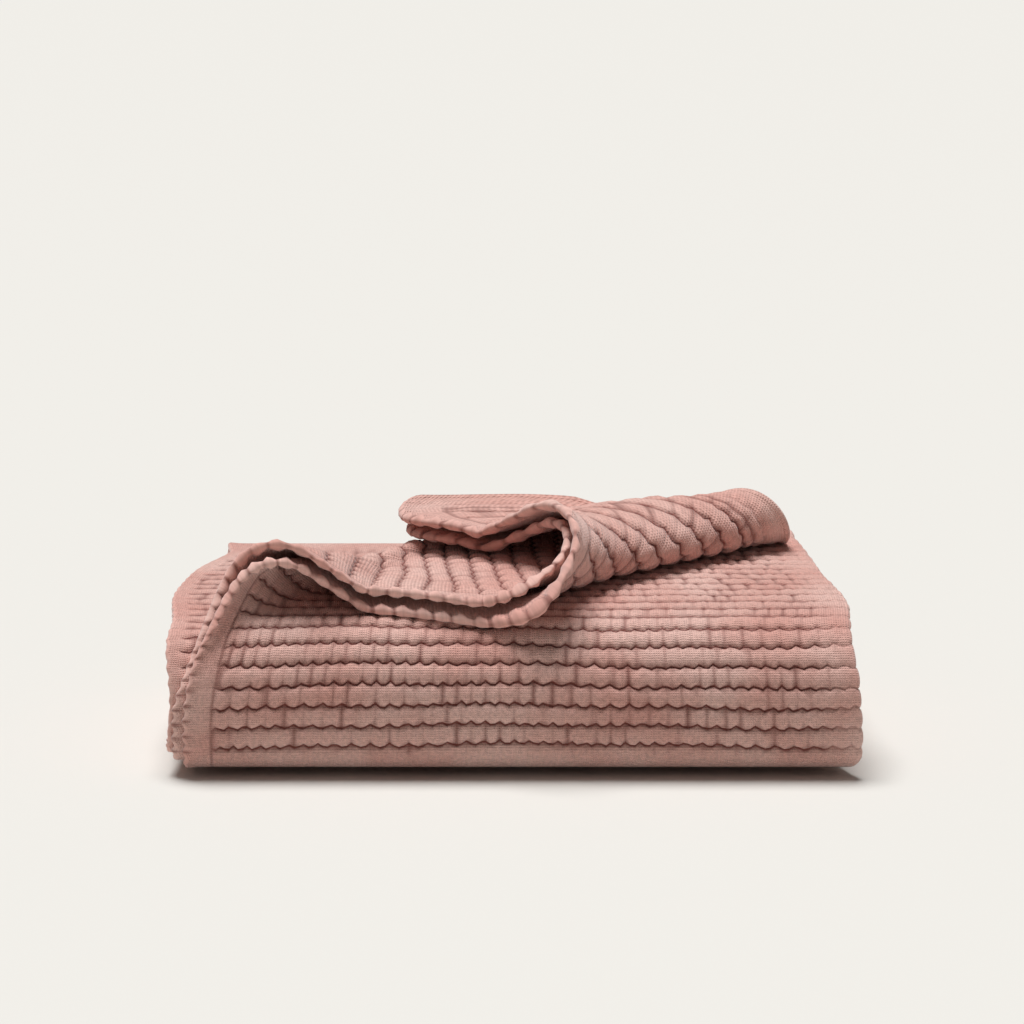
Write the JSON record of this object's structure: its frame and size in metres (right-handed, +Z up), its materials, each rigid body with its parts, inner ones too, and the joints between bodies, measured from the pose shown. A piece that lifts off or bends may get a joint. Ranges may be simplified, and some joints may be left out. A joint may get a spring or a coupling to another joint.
{
  "type": "folded muslin coverlet",
  "caption": "Ribbed muslin coverlet, doubled and folded into a low rounded bundle, with its loose corner turned over twice on top.",
  "frame": {"origin": "under the middle of the bundle, on the surface that it rests on", "axes": "+X from the hems at the left end to the doubled right end, +Y from the rounded front to the back, +Z up"},
  "size_m": [0.4366, 0.2982, 0.1563],
  "materials": {
    "muslin": "dusty rose crinkled cotton muslin, matt"
  },
  "bodies": {
    "root": {"coverlet": "muslin"}
  },
  "joints": []
}
